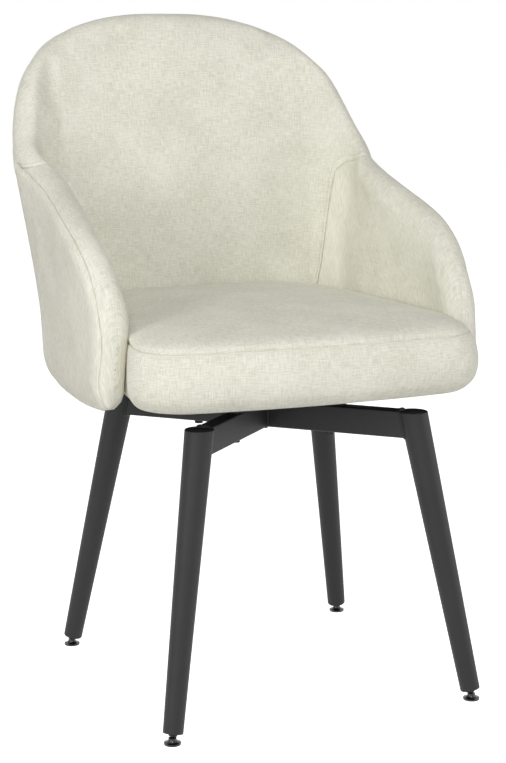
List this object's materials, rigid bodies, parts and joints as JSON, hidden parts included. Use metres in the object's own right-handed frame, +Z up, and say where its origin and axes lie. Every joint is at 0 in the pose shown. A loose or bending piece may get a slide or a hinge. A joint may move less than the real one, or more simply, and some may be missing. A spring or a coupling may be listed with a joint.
{
  "type": "swivel dining chair",
  "caption": "Upholstered tub dining chair that turns on a ball-race swivel over splayed, tapered tube legs with levelling glides.",
  "frame": {"origin": "on the floor, under the middle of the chair's overall box; the swivel axis stands 86 mm in front of it (towards -Y)", "axes": "+Z up, the chair faces -Y, +X to the right as seen from the front"},
  "size_m": [0.5274, 0.5997, 0.866],
  "materials": {
    "upholstery": "off-white linen-look weave",
    "black_metal": "matt charcoal-black powder coat",
    "black_steel": "black-finished steel",
    "black_plastic": "matt moulded black",
    "glide_plastic": "smooth moulded black",
    "zinc_steel": "bright zinc plate",
    "ball_steel": "polished bearing steel",
    "cage_plastic": "natural moulded plastic",
    "plywood": "unfinished birch plywood",
    "black_plywood": "black-stained birch plywood",
    "dust_cloth": "black non-woven cloth"
  },
  "bodies": {
    "frame": {"base_bolts": "black_steel", "centre_rivet": "zinc_steel", "cross_bar_front_left": "black_metal", "cross_bar_long": "black_metal", "cross_bar_rear_right": "black_metal", "foot_insert_front_left": "black_plastic", "foot_insert_front_right": "black_plastic", "foot_insert_rear_left": "black_plastic", "foot_insert_rear_right": "black_plastic", "leg_cap_front_left": "black_plastic", "leg_cap_front_right": "black_plastic", "leg_cap_rear_left": "black_plastic", "leg_cap_rear_right": "black_plastic", "leg_front_left": "black_metal", "leg_front_right": "black_metal", "leg_rear_left": "black_metal", "leg_rear_right": "black_metal", "spacer_washers": "zinc_steel", "swivel_lower_plate": "black_metal", "weld_nuts": "zinc_steel"},
    "seat": {"swivel_upper_plate": "black_metal", "seat_bolts": "zinc_steel", "tee_nuts": "zinc_steel", "mounting_board": "black_plywood", "mounting_screws": "zinc_steel", "seat_board": "black_plywood", "dust_cover": "dust_cloth", "seat_cushion": "upholstery", "shell_core": "plywood", "shell_screws": "zinc_steel", "outer_cover": "upholstery", "inner_back_pad": "upholstery", "inner_arm_pad_left": "upholstery", "inner_arm_pad_right": "upholstery", "arm_front_pad_left": "upholstery", "arm_front_pad_right": "upholstery"},
    "cage": {"ball_cage": "cage_plastic", "bearing_balls": "ball_steel"},
    "leveller_front_left": {"leveller_stud_front_left": "black_steel"},
    "glide_front_left": {"glide_pad_front_left": "glide_plastic"},
    "leveller_front_right": {"leveller_stud_front_right": "black_steel"},
    "glide_front_right": {"glide_pad_front_right": "glide_plastic"},
    "leveller_rear_left": {"leveller_stud_rear_left": "black_steel"},
    "glide_rear_left": {"glide_pad_rear_left": "glide_plastic"},
    "leveller_rear_right": {"leveller_stud_rear_right": "black_steel"},
    "glide_rear_right": {"glide_pad_rear_right": "glide_plastic"}
  },
  "joints": [
    {"name": "seat_swivel", "type": "hinge", "parent": "frame", "child": "seat", "pos_m": [0, -0.086, 0.381], "axis": [0, 0, 1], "continuous": true},
    {"name": "cage_turn", "type": "hinge", "parent": "frame", "child": "cage", "pos_m": [0, -0.086, 0.378], "axis": [0, 0, 1], "continuous": true},
    {"name": "level_front_left", "type": "slide", "parent": "frame", "child": "leveller_front_left", "axis": [-0.1584, -0.1584, -0.9746], "range_m": [0, 0.008]},
    {"name": "tilt_front_left", "type": "hinge", "parent": "leveller_front_left", "child": "glide_front_left", "pos_m": [-0.203, -0.289, 0.006], "axis": [-0.7071, 0.7071, 0], "range_deg": [-5, 30]},
    {"name": "level_front_right", "type": "slide", "parent": "frame", "child": "leveller_front_right", "axis": [0.1584, -0.1584, -0.9746], "range_m": [0, 0.008]},
    {"name": "tilt_front_right", "type": "hinge", "parent": "leveller_front_right", "child": "glide_front_right", "pos_m": [0.203, -0.289, 0.006], "axis": [-0.7071, -0.7071, 0], "range_deg": [-5, 30]},
    {"name": "level_rear_left", "type": "slide", "parent": "frame", "child": "leveller_rear_left", "axis": [-0.1584, 0.1584, -0.9746], "range_m": [0, 0.008]},
    {"name": "tilt_rear_left", "type": "hinge", "parent": "leveller_rear_left", "child": "glide_rear_left", "pos_m": [-0.203, 0.117, 0.006], "axis": [0.7071, 0.7071, 0], "range_deg": [-5, 30]},
    {"name": "level_rear_right", "type": "slide", "parent": "frame", "child": "leveller_rear_right", "axis": [0.1584, 0.1584, -0.9746], "range_m": [0, 0.008]},
    {"name": "tilt_rear_right", "type": "hinge", "parent": "leveller_rear_right", "child": "glide_rear_right", "pos_m": [0.203, 0.117, 0.006], "axis": [0.7071, -0.7071, 0], "range_deg": [-5, 30]}
  ],
  "couplings": [
    {"joint": "cage_turn", "follows": "seat_swivel", "ratio": 0.5}
  ]
}
